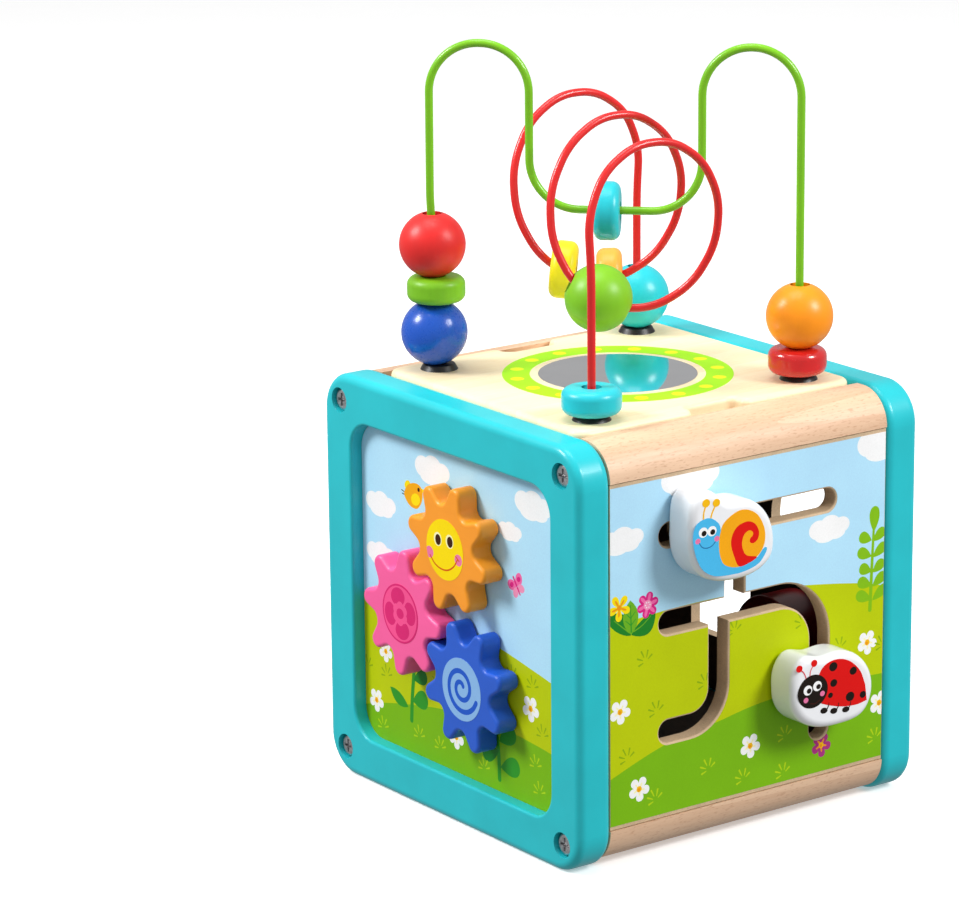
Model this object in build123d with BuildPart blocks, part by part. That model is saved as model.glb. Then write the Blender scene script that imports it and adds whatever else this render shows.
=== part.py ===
"""Wooden activity cube for babies: a bead maze on a lift-off lid, gears, a slot maze and a shape sorter.

Millimetres. +Z is up. The origin is at the middle of the cube, on the surface that it stands on.
The gears face -Y, the slot maze faces +X, the shape sorter faces +Y and the plain side faces -X.
"""

import math
import os

from build123d import *

os.makedirs("parts", exist_ok=True)

# Cube
cube = 200.0                # length of an edge
frame_depth = 18.5          # thickness of the front and back frames
frame_corner = 19.0         # outer corner radius of a frame
frame_edge = 4.0            # rounding of a frame's outer edges
window = 156.4              # clear width of a frame's window
window_corner = 14.0
window_edge = 1.5
rabbet = 164.4              # width of the recess that holds a window's panel
rabbet_corner = 17.0
panel_set_back = 6.8        # from a frame's outer face to its panel's face
window_panel = 164.0        # width of the panels behind the windows
window_panel_thick = 5.8
inner_face = cube / 2 - frame_depth

# Rails
rail_outer = 98.8           # from the middle plane to a rail's outer face
rail_round = 17.0           # radius of a rail's quarter round
rail_top = 199.0
rail_bottom = 2.0
rail_inner = 63.0
rail_end_gap = 0.1
ledge_edge = 77.5           # where the ledges under the lid and the base panel begin
lid_ledge = 187.0
base_ledge = 14.0
batten_depth = 12.0         # how far a rail reaches behind a side panel

# Side panels
panel_outer = 98.2
panel_thick = 8.0
panel_inner = panel_outer - panel_thick
panel_gap = 0.4
slot_width = 11.0
slot_edge = 1.0

# Screws
screw_offset = 86.6         # from the cube's middle planes
screw_recess_radius = 6.1
screw_recess_depth = 4.2
screw_head_radius = 5.4
screw_head_height = 2.6
screw_shank_radius = 2.2
screw_length = 40.0

# Lid
lid_width = 152.0
lid_length = 161.6
lid_thick = 14.0
lid_corner = 8.0
lid_edge = 2.8
lid_bottom = lid_ledge + 0.1
lid_top = lid_bottom + lid_thick
notch_width = 30.0
notch_depth = 9.5
notch_corner = 5.0
notch_mouth = 4.0
mirror_radius = 37.5
mirror_thick = 1.5
green_leg = 60.2            # a green leg's distance from the middle planes
red_leg = 61.0              # a red leg's distance from the middle of the red wire
red_middle = (-0.7, -1.0)   # the red wire stands a little off the cube's middle
leg_socket = 8.0            # depth of the hole that a wire's leg stands in
running_gap = 0.05

# Grommets
grommet_radius = 9.0
grommet_top_radius = 7.4
grommet_height = 2.8

# Wires
wire_radius = 1.9
arch_top = 356.9
arch_inner_leg = 40.4
dip_height = 279.3
dip_middle = -1.0           # the dip sits a little to the front left of the middle
arch_radius = 22.8
leaning_arch_radius = 23.2
dip_radius = 23.5
lean_start = 207.0          # heights between which the front left leg leans outwards
lean_top = 285.0
lean_out = 3.4
lean_back = 0.2
lean_radius = 100.0
coil_tilt = 20.1            # degrees from the X axis to the coil's axis
coil_height = 282.0
coil_half_height = 42.2
coil_turns = 2.5
coil_sides = 12             # straight runs in a turn
# The coil is bent by hand, so its first turn stands a little to the front and its others to the back:
# degrees along the coil, then how far it is moved sideways and up.
coil_wander = [(0, 0.0, 0.0), (50, -2.0, -1.2), (130, -2.0, -1.4), (280, -2.0, 0.0), (400, 1.3, 0.0), (850, 1.3, 0.0), (900, 0.0, 0.0)]

# Beads
ball_radius = 15.75
ball_length = 29.8
disc_radius = 13.8
disc_thick = 12.2
disc_edge = 4.0
bead_hole = 4.6
coil_ball_hole = 4.9
coil_disc_hole = 5.5
bead_gap = 0.1

# Gears
gear_teeth = 8
gear_tip = 31.0
gear_root = 21.5
tooth_round = 4.3
valley_round = 4.6
gear_thick = 11.0
gear_front = -105.2
gear_distance = 54.0        # between the centres of two gears in mesh
gear_edge = 1.8
axle_radius = 4.0
gear_retainer_radius = 11.0

# Sliders
slider_back = 99.2
slider_thick = 18.0
slider_edge = 4.0
pin_radius = 5.0
slider_retainer_radius = 12.0

# Shape block and sorter openings
block_width = 50.0
block_height = 67.0
block_depth = 22.0
block_x = 33.6
block_front = 64.0


def save(part, name):
    """Labels a finished piece and writes it as one STEP file."""
    part.label = name
    export_step(part, f"parts/{name}.step")


# Front and back frames
def make_frame(side):
    """A square frame with a window and a rabbet behind it. side is -1 for the front and 1 for the back."""
    outer_plane = Plane.XZ.offset(-side * cube / 2).shift_origin((0, side * cube / 2, cube / 2))
    rabbet_plane = Plane.XZ.offset(-side * inner_face).shift_origin((0, side * inner_face, cube / 2))
    with BuildPart() as frame:
        with BuildSketch(outer_plane):
            RectangleRounded(cube, cube, frame_corner)
        extrude(amount=side * frame_depth)
        fillet(frame.faces().filter_by(Axis.Y).edges(), frame_edge)
        with BuildSketch(outer_plane):
            RectangleRounded(window, window, window_corner)
        extrude(amount=side * frame_depth, mode=Mode.SUBTRACT)
        window_rim = frame.faces().filter_by(Axis.Y).sort_by(Axis.Y)[0 if side < 0 else -1].inner_wires()[0]
        fillet(window_rim.edges(), window_edge)
        with BuildSketch(rabbet_plane):
            RectangleRounded(rabbet, rabbet, rabbet_corner)
        extrude(amount=-side * (frame_depth - panel_set_back), mode=Mode.SUBTRACT)
        with Locations(outer_plane):
            with GridLocations(2 * screw_offset, 2 * screw_offset, 2, 2):
                Cylinder(screw_recess_radius, 2 * screw_recess_depth, mode=Mode.SUBTRACT)
                Cylinder(screw_shank_radius + running_gap, 3 * frame_depth, mode=Mode.SUBTRACT)
    return frame.part


front_frame = make_frame(-1)
save(front_frame, "front_frame")
back_frame = make_frame(1)
save(back_frame, "back_frame")


# Rails, which run along Y between the frames
def make_rail(side, upper):
    """A quarter-round rail with a ledge inside. side is 1 for +X and -1 for -X."""
    if upper:
        outer_z = rail_top
        centre_z = rail_top - rail_round
        ledge_z = lid_ledge
        inner_z = centre_z - batten_depth
    else:
        outer_z = rail_bottom
        centre_z = rail_bottom + rail_round
        ledge_z = base_ledge
        inner_z = centre_z + batten_depth
    towards_outside = 1 if upper else -1
    centre_x = rail_outer - rail_round
    diagonal = rail_round * math.sqrt(0.5)
    length = 2 * (inner_face - rail_end_gap)
    with BuildPart() as rail:
        with BuildSketch(Plane.XZ):
            with BuildLine():
                Polyline(
                    (side * centre_x, outer_z),
                    (side * ledge_edge, outer_z),
                    (side * ledge_edge, ledge_z),
                    (side * rail_inner, ledge_z),
                    (side * rail_inner, inner_z if upper else rail_bottom),
                    (side * (panel_inner - running_gap), inner_z if upper else rail_bottom),
                ) if upper else Polyline(
                    (side * centre_x, outer_z),
                    (side * rail_inner, outer_z),
                    (side * rail_inner, ledge_z),
                    (side * ledge_edge, ledge_z),
                    (side * ledge_edge, inner_z),
                    (side * (panel_inner - running_gap), inner_z),
                )
                Polyline(
                    (side * (panel_inner - running_gap), inner_z),
                    (side * (panel_inner - running_gap), centre_z),
                    (side * rail_outer, centre_z),
                )
                ThreePointArc(
                    (side * rail_outer, centre_z),
                    (side * (centre_x + diagonal), centre_z + towards_outside * diagonal),
                    (side * centre_x, outer_z),
                )
            make_face()
        extrude(amount=length / 2, both=True)
        for end in (-1, 1):
            screw_z = cube / 2 + towards_outside * screw_offset
            end_plane = Plane(origin=(side * screw_offset, end * inner_face, screw_z), z_dir=(0, end, 0))
            with Locations(end_plane):
                Cylinder(
                    screw_shank_radius + running_gap,
                    2 * (screw_length - frame_depth + 2 * screw_recess_depth),
                    mode=Mode.SUBTRACT,
                )
    return rail.part


top_rail_right = make_rail(1, True)
save(top_rail_right, "top_rail_right")
top_rail_left = make_rail(-1, True)
save(top_rail_left, "top_rail_left")
bottom_rail_right = make_rail(1, False)
save(bottom_rail_right, "bottom_rail_right")
bottom_rail_left = make_rail(-1, False)
save(bottom_rail_left, "bottom_rail_left")


# Screws that hold the frames to the rails
def make_screw(side_x, side_y, side_z):
    """A domed wood screw with a cross recess, its head at the bottom of a frame's recess."""
    seat = cube / 2 - screw_recess_depth
    centre_z = cube / 2 + side_z * screw_offset
    head_plane = Plane(origin=(side_x * screw_offset, side_y * seat, centre_z), z_dir=(0, side_y, 0))
    with BuildPart(head_plane) as screw:
        Cylinder(screw_head_radius, screw_head_height, align=(Align.CENTER, Align.CENTER, Align.MIN))
        fillet(screw.faces().sort_by(Axis.Y)[-1 if side_y > 0 else 0].edges(), 1.6)
        Cylinder(screw_shank_radius, screw_length, align=(Align.CENTER, Align.CENTER, Align.MAX))
        with Locations((0, 0, screw_head_height)):
            Box(6.4, 1.4, 3.0, mode=Mode.SUBTRACT)
            Box(1.4, 6.4, 3.0, mode=Mode.SUBTRACT)
    return screw.part


for side_y, frame_name in ((-1, "front"), (1, "back")):
    for side_z, height_name in ((1, "upper"), (-1, "lower")):
        for side_x, side_name in ((1, "right"), (-1, "left")):
            screw_part = make_screw(side_x, side_y, side_z)
            save(screw_part, f"screw_{frame_name}_{height_name}_{side_name}")

# Gear centres, in the plane of the gear panel
flower_centre = (-31.0, 95.2)
sun_direction = math.radians(47.3)
spiral_direction = math.radians(-26.5)
sun_centre = (
    flower_centre[0] + gear_distance * math.cos(sun_direction),
    flower_centre[1] + gear_distance * math.sin(sun_direction),
)
spiral_centre = (
    flower_centre[0] + gear_distance * math.cos(spiral_direction),
    flower_centre[1] + gear_distance * math.sin(spiral_direction),
)
gear_centres = {"sun": sun_centre, "flower": flower_centre, "spiral": spiral_centre}
tooth_pitch = 360.0 / gear_teeth
# The flower gear has a valley on the line to the spiral gear, whose tooth stands in it.
flower_turn = -26.5 + tooth_pitch / 2
spiral_turn = 180.0 - 26.5
# The sun gear turns against the flower gear from the line between them.
flower_lead = 47.3 - (flower_turn + tooth_pitch)
sun_turn = 180.0 + 47.3 + flower_lead + tooth_pitch / 2
gear_turns = {"sun": sun_turn, "flower": flower_turn, "spiral": spiral_turn}

# Window panels
panel_face_y = cube / 2 - panel_set_back
with BuildPart() as gear_panel:
    with BuildSketch(Plane.XZ.offset(panel_face_y)):
        with Locations((0, cube / 2)):
            RectangleRounded(window_panel, window_panel, rabbet_corner)
        with Locations(*gear_centres.values()):
            Circle(axle_radius + running_gap, mode=Mode.SUBTRACT)
    extrude(amount=-window_panel_thick)
gear_panel.part.label = "gear_panel"
export_step(gear_panel.part, "parts/gear_panel.step")

with BuildPart() as sorter_panel:
    with BuildSketch(Plane.XZ.offset(-panel_face_y)):
        with Locations((0, cube / 2)):
            RectangleRounded(window_panel, window_panel, rabbet_corner)
        with Locations((36.0, 119.0)):
            Circle(27.0, mode=Mode.SUBTRACT)
        with Locations((-29.5, 68.8)):
            RectangleRounded(46.0, 46.0, 3.0, mode=Mode.SUBTRACT)
        with Locations((-32.5, 116.5)):
            Rectangle(52.0, 31.0, mode=Mode.SUBTRACT)
        with Locations((-32.5, 132.0)):
            Circle(26.0, mode=Mode.SUBTRACT)
    extrude(amount=window_panel_thick)
sorter_panel.part.label = "sorter_panel"
export_step(sorter_panel.part, "parts/sorter_panel.step")

# Side panels. The slots' centre lines are drawn in the panel's own plane: Y across, Z up.
panel_low = rail_bottom + rail_round + panel_gap
panel_high = rail_top - rail_round - panel_gap
panel_length = 2 * (inner_face - 0.2)
top_slot_z = 153.0
middle_slot_z = 111.6
right_arm_y = 42.0
left_arm_y = -18.4
low_slot_z = 59.9
with BuildLine() as top_route:
    Line((-47.6, top_slot_z), (45.5, top_slot_z))
with BuildLine() as link_route:
    Line((-9.1, top_slot_z), (-9.1, middle_slot_z))
with BuildLine() as right_route:
    arm = Line((-47.6, middle_slot_z), (right_arm_y - 24.2, middle_slot_z))
    bend = JernArc(start=arm @ 1, tangent=arm % 1, radius=24.2, arc_size=-90)
    Line(bend @ 1, (right_arm_y, 43.2))
with BuildLine() as left_route:
    drop = Line((left_arm_y, middle_slot_z), (left_arm_y, low_slot_z + 16.5))
    turn = JernArc(start=drop @ 1, tangent=drop % 1, radius=16.5, arc_size=-90)
    Line(turn @ 1, (-47.6, low_slot_z))

with BuildPart() as maze_panel:
    with BuildSketch(Plane.YZ.offset(panel_inner)):
        with Locations((0, (panel_low + panel_high) / 2)):
            Rectangle(panel_length, panel_high - panel_low)
    extrude(amount=panel_thick)
    with BuildSketch(Plane.YZ.offset(panel_inner)):
        for route in (top_route, link_route, right_route, left_route):
            SlotArc(route.wires()[0], slot_width)
    extrude(amount=panel_thick, mode=Mode.SUBTRACT)
    fillet(maze_panel.faces().sort_by(Axis.X)[-1].inner_wires().edges(), slot_edge)
maze_panel.part.label = "maze_panel"
export_step(maze_panel.part, "parts/maze_panel.step")

with BuildPart() as plain_panel:
    with BuildSketch(Plane.YZ.offset(-panel_outer)):
        with Locations((0, (panel_low + panel_high) / 2)):
            Rectangle(panel_length, panel_high - panel_low)
    extrude(amount=panel_thick)
plain_panel.part.label = "plain_panel"
export_step(plain_panel.part, "parts/plain_panel.step")

with BuildPart() as base_panel:
    with BuildSketch(Plane.XY.offset(base_ledge + running_gap)):
        Rectangle(2 * ledge_edge - 0.4, 2 * inner_face - 0.4)
    extrude(amount=6.0)
base_panel.part.label = "base_panel"
export_step(base_panel.part, "parts/base_panel.step")

# Lid
red_front = (red_middle[0] + red_leg, red_middle[1] - red_leg)
red_back = (red_middle[0] - red_leg, red_middle[1] + red_leg)
leg_places = [red_front, red_back, (green_leg, green_leg), (-green_leg, -green_leg)]
with BuildPart() as lid:
    with BuildSketch(Plane.XY.offset(lid_bottom)) as lid_outline:
        RectangleRounded(lid_width, lid_length, lid_corner)
        with Locations((lid_width / 2, 0), (-lid_width / 2, 0)):
            RectangleRounded(2 * notch_depth, notch_width, notch_corner, mode=Mode.SUBTRACT)
    extrude(amount=lid_thick)
    notch_mouths = lid.edges().filter_by(Axis.Z).filter_by_position(Axis.Y, -notch_width, notch_width)
    mouth_edges = notch_mouths.filter_by(lambda edge: abs(abs(edge.center().X) - lid_width / 2) < 0.1)
    fillet(mouth_edges, notch_mouth)
    fillet(lid.faces().sort_by(Axis.Z)[-1].edges(), lid_edge)
    with BuildSketch(Plane.XY.offset(lid_top)):
        Circle(mirror_radius + running_gap)
    extrude(amount=-mirror_thick, mode=Mode.SUBTRACT)
    with BuildSketch(Plane.XY.offset(lid_top)):
        with Locations(*leg_places):
            Circle(wire_radius + running_gap)
    extrude(amount=-leg_socket, mode=Mode.SUBTRACT)
lid.part.label = "lid"
export_step(lid.part, "parts/lid.step")

with BuildPart() as mirror:
    with BuildSketch(Plane.XY.offset(lid_top - mirror_thick)):
        Circle(mirror_radius)
    extrude(amount=mirror_thick + 0.2)
mirror.part.label = "mirror"
export_step(mirror.part, "parts/mirror.step")


# Grommets at the feet of the wires
def make_grommet(place):
    """A domed washer around a wire's leg."""
    with BuildPart(Plane.XY.offset(lid_top)) as grommet:
        with Locations((place[0], place[1], 0)):
            Cone(
                grommet_radius,
                grommet_top_radius,
                grommet_height,
                align=(Align.CENTER, Align.CENTER, Align.MIN),
            )
        fillet(grommet.edges().sort_by(Axis.Z)[-1], 1.1)
        with Locations((place[0], place[1], 0)):
            Cylinder(wire_radius + running_gap, 3 * grommet_height, mode=Mode.SUBTRACT)
    return grommet.part


grommet_names = ("front_right", "back_left", "back_right", "front_left")
for grommet_name, place in zip(grommet_names, leg_places):
    grommet_part = make_grommet(place)
    save(grommet_part, f"grommet_{grommet_name}")


# Green wire: two arches with a dip between them, in one upright plane. Its front left leg leans outwards.
leg_floor = lid_top - leg_socket + 0.1
leg_s = green_leg * math.sqrt(2)
diagonal_plane = Plane(origin=(0, 0, 0), x_dir=(1, 1, 0), z_dir=(1, -1, 0))
with BuildPart() as green_wire:
    with BuildLine(diagonal_plane) as green_path:
        FilletPolyline(
            (-leg_s, leg_floor),
            (-leg_s, lean_start),
            (-leg_s - lean_out, lean_top),
            (-leg_s - lean_out + lean_back, arch_top),
            (dip_middle - arch_inner_leg, arch_top),
            (dip_middle - arch_inner_leg, dip_height),
            (dip_middle + arch_inner_leg, dip_height),
            (dip_middle + arch_inner_leg, arch_top),
            (leg_s, arch_top),
            (leg_s, leg_floor),
            radius=[
                lean_radius,
                lean_radius,
                leaning_arch_radius,
                arch_radius,
                dip_radius,
                dip_radius,
                arch_radius,
                arch_radius,
            ],
        )
    with BuildSketch(Plane.XY.offset(leg_floor)):
        with Locations((-green_leg, -green_leg)):
            Circle(wire_radius)
    sweep(path=green_path.wires()[0])
green_wire.part.label = "green_wire"
export_step(green_wire.part, "parts/green_wire.step")

# Red wire: an upright coil along a level axis, between two upright legs
tilt = math.radians(coil_tilt)
coil_axis = Vector(-math.cos(tilt), math.sin(tilt), 0)
coil_side = Vector(math.sin(tilt), math.cos(tilt), 0)
coil_middle = Vector(red_middle[0], red_middle[1], 0)
coil_pitch = 2 * red_leg * (math.cos(tilt) + math.sin(tilt)) / coil_turns
coil_half_width = red_leg * (math.cos(tilt) - math.sin(tilt))


def wander(degrees):
    """How far the coil is moved sideways and up at one of its points."""
    for before, after in zip(coil_wander, coil_wander[1:]):
        if before[0] <= degrees <= after[0]:
            part_way = (degrees - before[0]) / (after[0] - before[0])
            return tuple(before[axis] + part_way * (after[axis] - before[axis]) for axis in (1, 2))
    return 0.0, 0.0


def coil_point(degrees, scale=1.0):
    """A point of the coil. scale widens it, for the corners of a path that wraps round it."""
    angle = math.radians(degrees)
    along = (degrees / 360.0 - coil_turns / 2) * coil_pitch
    sideways, up = wander(degrees)
    across = -math.cos(angle) * coil_half_width * scale + sideways
    height = coil_height + math.sin(angle) * coil_half_height * scale + up
    return coil_middle + coil_axis * along + coil_side * across + Vector(0, 0, height)


def corner_radii(points):
    """The largest arc that fits at each inner corner, with a little of each straight run left."""
    radii = []
    for before, corner, after in zip(points, points[1:], points[2:]):
        run_in = corner - before
        run_out = after - corner
        turn_angle = math.radians(run_in.get_angle(run_out))
        radii.append(0.45 * min(run_in.length, run_out.length) / math.tan(turn_angle / 2))
    return radii


half_side = 180.0 / coil_sides
corner_scale = 1.0 / math.cos(math.radians(half_side))
corner_count = int(coil_turns * coil_sides)
corners = [coil_point(half_side * (2 * index + 1), corner_scale) for index in range(corner_count)]
leg_shoulder = coil_height - 12.0
red_points = [
    Vector(*red_front, leg_floor),
    Vector(*red_front, leg_shoulder),
    *corners,
    Vector(*red_back, leg_shoulder),
    Vector(*red_back, leg_floor),
]
with BuildPart() as red_wire:
    with BuildLine() as red_path:
        FilletPolyline(*red_points, radius=corner_radii(red_points))
    with BuildSketch(Plane.XY.offset(leg_floor)):
        with Locations(red_front):
            Circle(wire_radius)
    sweep(path=red_path.wires()[0])
red_wire.part.label = "red_wire"
export_step(red_wire.part, "parts/red_wire.step")
wire_section = math.pi * wire_radius**2
for wire_name, wire, path in (("green", green_wire, green_path), ("red", red_wire, red_path)):
    path_volume = wire_section * sum(edge.length for edge in path.edges())
    print(wire_name, "wire volume", round(wire.part.volume), "section times length", round(path_volume))


# Beads
def make_ball(plane, hole):
    """A round bead with small flats at its hole, its hole along the plane's normal."""
    with BuildPart(plane) as bead:
        Sphere(ball_radius)
        Cylinder(ball_radius + 2, ball_length, mode=Mode.INTERSECT)
        Cylinder(hole, 2 * ball_radius, mode=Mode.SUBTRACT)
    return bead.part


def make_disc(plane, hole):
    """A flat bead with well-rounded rims."""
    with BuildPart(plane) as bead:
        Cylinder(disc_radius, disc_thick)
        fillet(bead.edges(), disc_edge)
        Cylinder(hole, 2 * disc_thick, mode=Mode.SUBTRACT)
    return bead.part


stack_floor = lid_top + grommet_height + bead_gap
low_ball_z = stack_floor + ball_length / 2
low_disc_z = stack_floor + disc_thick / 2
ball_to_disc = ball_length / 2 + bead_gap + disc_thick / 2
# The beads on the leaning leg hang a little off its line, within the play of their holes.
upright_beads = {
    "blue_ball": (make_ball, -61.7, -61.7, low_ball_z),
    "green_disc": (make_disc, -60.9, -60.9, low_ball_z + ball_to_disc),
    "red_ball": (make_ball, -62.0, -62.0, low_ball_z + 2 * ball_to_disc),
    "red_disc": (make_disc, 59.7, 59.7, low_disc_z),
    "orange_ball": (make_ball, 60.3, 60.3, low_disc_z + ball_to_disc),
    "teal_disc": (make_disc, *red_front, low_disc_z),
    "teal_ball": (make_ball, *red_back, low_ball_z),
}
for bead_name, (make_bead, bead_x, bead_y, bead_z) in upright_beads.items():
    bead_part = make_bead(Plane(origin=(bead_x, bead_y, bead_z)), bead_hole)
    save(bead_part, bead_name)

dip_disc_s = -3.4
dip_turn = math.radians(48.0)
dip_plane = Plane(
    origin=(dip_disc_s, dip_disc_s, dip_height - 0.3),
    x_dir=(0, 0, 1),
    z_dir=(math.cos(dip_turn), math.sin(dip_turn), 0),
)
dip_disc = make_disc(dip_plane, bead_hole)
save(dip_disc, "dip_disc")


def coil_plane(degrees, inward):
    """A plane square to the coil at one of its points, moved towards the inside of its curve."""
    step = 4.0
    here = coil_point(degrees)
    ahead = coil_point(degrees + step)
    behind = coil_point(degrees - step)
    along = (ahead - behind).normalized()
    inside = (ahead + behind - here * 2).normalized()
    return Plane(origin=here + inside * inward, x_dir=inside, z_dir=along)


def hanging_plane(degrees, inward, turned):
    """A plane with a nearly level axis, for a disc that hangs upright on the coil, turned about the vertical."""
    square = coil_plane(degrees, inward)
    level = Vector(square.z_dir.X, square.z_dir.Y, 0.2 * square.z_dir.Z).rotate(Axis.Z, turned)
    return Plane(origin=square.origin, x_dir=level.cross(Vector(0, 0, 1)), z_dir=level)


coil_ball = make_ball(coil_plane(295.1, 0.9), coil_ball_hole)
save(coil_ball, "coil_ball")
coil_yellow_disc = make_disc(hanging_plane(655.6, 0.7, -4.0), coil_disc_hole)
save(coil_yellow_disc, "coil_yellow_disc")
coil_orange_disc = make_disc(hanging_plane(621.0, 0.5, -3.0), coil_disc_hole)
save(coil_orange_disc, "coil_orange_disc")


# Gears
def make_gear(centre, turn):
    """An eight-toothed gear with rounded teeth and a blind hole for its axle in the back."""
    half_pitch = math.pi / gear_teeth
    tip_centre = Vector(gear_tip - tooth_round, 0)
    valley_centre = Vector(math.cos(half_pitch), math.sin(half_pitch)) * (gear_root + valley_round)
    between = valley_centre - tip_centre
    flank_angle = math.atan2(between.Y, between.X) - math.acos((tooth_round + valley_round) / between.length)
    flank_normal = Vector(math.cos(flank_angle), math.sin(flank_angle))
    flank_start = tip_centre + flank_normal * tooth_round
    flank_end = valley_centre - flank_normal * valley_round
    tip = Vector(gear_tip, 0)
    valley = Vector(math.cos(half_pitch), math.sin(half_pitch)) * gear_root
    other_start = Vector(flank_start.X, -flank_start.Y)
    next_end = Vector(flank_end.X, -flank_end.Y).rotate(Axis.Z, tooth_pitch)
    next_start = other_start.rotate(Axis.Z, tooth_pitch)
    turned = math.radians(turn)
    gear_plane = Plane(
        origin=(centre[0], gear_front + gear_thick, centre[1]),
        x_dir=(math.cos(turned), 0, math.sin(turned)),
        z_dir=(0, -1, 0),
    )
    with BuildPart() as gear:
        with BuildSketch(gear_plane):
            with BuildLine():
                for tooth in range(gear_teeth):
                    around = tooth * tooth_pitch
                    corner_points = [
                        point.rotate(Axis.Z, around)
                        for point in (other_start, tip, flank_start, flank_end, valley, next_end, next_start)
                    ]
                    ThreePointArc(*corner_points[0:3])
                    Line(corner_points[2], corner_points[3])
                    ThreePointArc(*corner_points[3:6])
                    Line(corner_points[5], corner_points[6])
            make_face()
        extrude(amount=gear_thick)
        fillet(gear.faces().sort_by(Axis.Y)[0].edges(), gear_edge)
        fillet(gear.faces().sort_by(Axis.Y)[-1].edges(), 0.8)
        with BuildSketch(gear_plane):
            Circle(axle_radius + running_gap)
        extrude(amount=6.0, mode=Mode.SUBTRACT)
    return gear.part


axle_end = panel_face_y - window_panel_thick - 3.5
for gear_name, centre in gear_centres.items():
    gear_part = make_gear(centre, gear_turns[gear_name])
    save(gear_part, f"{gear_name}_gear")
    with BuildPart() as axle:
        with BuildSketch(Plane.XZ.offset(axle_end)):
            with Locations(centre):
                Circle(axle_radius)
        extrude(amount=-gear_front - gear_thick + 5.9 - axle_end)
    save(axle.part, f"{gear_name}_axle")
    with BuildPart() as retainer:
        with BuildSketch(Plane.XZ.offset(axle_end)):
            with Locations(centre):
                Circle(gear_retainer_radius)
                Circle(axle_radius + running_gap, mode=Mode.SUBTRACT)
        extrude(amount=3.0)
    save(retainer.part, f"{gear_name}_retainer")


# Sliders, each outline drawn about the middle of its block: Y across, Z up
snail_centre = (-27.0, 153.0)
snail_outline = [
    (-22.8, 3.0),
    (-22.2, -5.0),
    (-18.8, -12.8),
    (-12.5, -18.2),
    (-3.0, -21.2),
    (8.0, -21.6),
    (18.5, -19.2),
    (25.2, -13.5),
    (26.4, -5.0),
    (24.2, 3.5),
    (18.5, 10.8),
    (10.5, 15.0),
    (3.0, 15.8),
    (-2.2, 16.8),
    (-7.5, 20.8),
    (-13.5, 22.9),
    (-19.5, 20.5),
    (-22.4, 12.5),
]
ladybug_centre = (35.0, 67.8)
ladybug_outline = [
    (-24.4, 0.0),
    (-19.5, -11.0),
    (-8.5, -17.0),
    (6.0, -18.2),
    (19.5, -15.2),
    (24.8, -5.5),
    (22.5, 6.5),
    (13.5, 15.0),
    (2.5, 17.6),
    (-7.5, 17.2),
    (-16.5, 18.6),
    (-23.0, 12.5),
]
snail_pin = (-27.0, top_slot_z)
ladybug_pin = (right_arm_y, 66.0)


def make_slider(centre, outline, pin):
    """A rounded block with a blind hole for its pin in the back."""
    block_plane = Plane(origin=(slider_back, centre[0], centre[1]), x_dir=(0, 1, 0), z_dir=(1, 0, 0))
    with BuildPart() as slider:
        with BuildSketch(block_plane):
            with BuildLine():
                Spline(*outline, periodic=True)
            make_face()
        extrude(amount=slider_thick)
        fillet(slider.faces().sort_by(Axis.X)[-1].edges(), slider_edge)
        fillet(slider.faces().sort_by(Axis.X)[0].edges(), 3.0)
        with BuildSketch(Plane.YZ.offset(slider_back)):
            with Locations(pin):
                Circle(pin_radius + running_gap)
        extrude(amount=8.0, mode=Mode.SUBTRACT)
    return slider.part


pin_end = panel_inner - 4.3
for slider_name, centre, outline, pin in (
    ("snail", snail_centre, snail_outline, snail_pin),
    ("ladybug", ladybug_centre, ladybug_outline, ladybug_pin),
):
    slider_part = make_slider(centre, outline, pin)
    save(slider_part, f"{slider_name}_block")
    with BuildPart() as slider_pin:
        with BuildSketch(Plane.YZ.offset(pin_end)):
            with Locations(pin):
                Circle(pin_radius)
        extrude(amount=slider_back + 7.9 - pin_end)
    save(slider_pin.part, f"{slider_name}_pin")
    with BuildPart() as retainer:
        with BuildSketch(Plane.YZ.offset(pin_end)):
            with Locations(pin):
                Circle(slider_retainer_radius)
                Circle(pin_radius + running_gap, mode=Mode.SUBTRACT)
        extrude(amount=4.0)
    save(retainer.part, f"{slider_name}_retainer")

# Arch-topped shape block, standing inside the cube behind the sorter panel
block_floor = base_ledge + 6.0 + 2 * running_gap
with BuildPart() as shape_block:
    with BuildSketch(Plane.XZ.offset(-block_front)):
        with Locations((block_x, block_floor + (block_height - block_width / 2) / 2)):
            Rectangle(block_width, block_height - block_width / 2)
        with Locations((block_x, block_floor + block_height - block_width / 2)):
            Circle(block_width / 2)
    extrude(amount=-block_depth)
    fillet(shape_block.faces().filter_by(Axis.Y).edges(), 1.5)
shape_block.part.label = "shape_block"
export_step(shape_block.part, "parts/shape_block.step")
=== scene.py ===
import math

import bmesh
import bpy
from mathutils import Matrix, Vector
from mathutils.geometry import delaunay_2d_cdt


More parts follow.
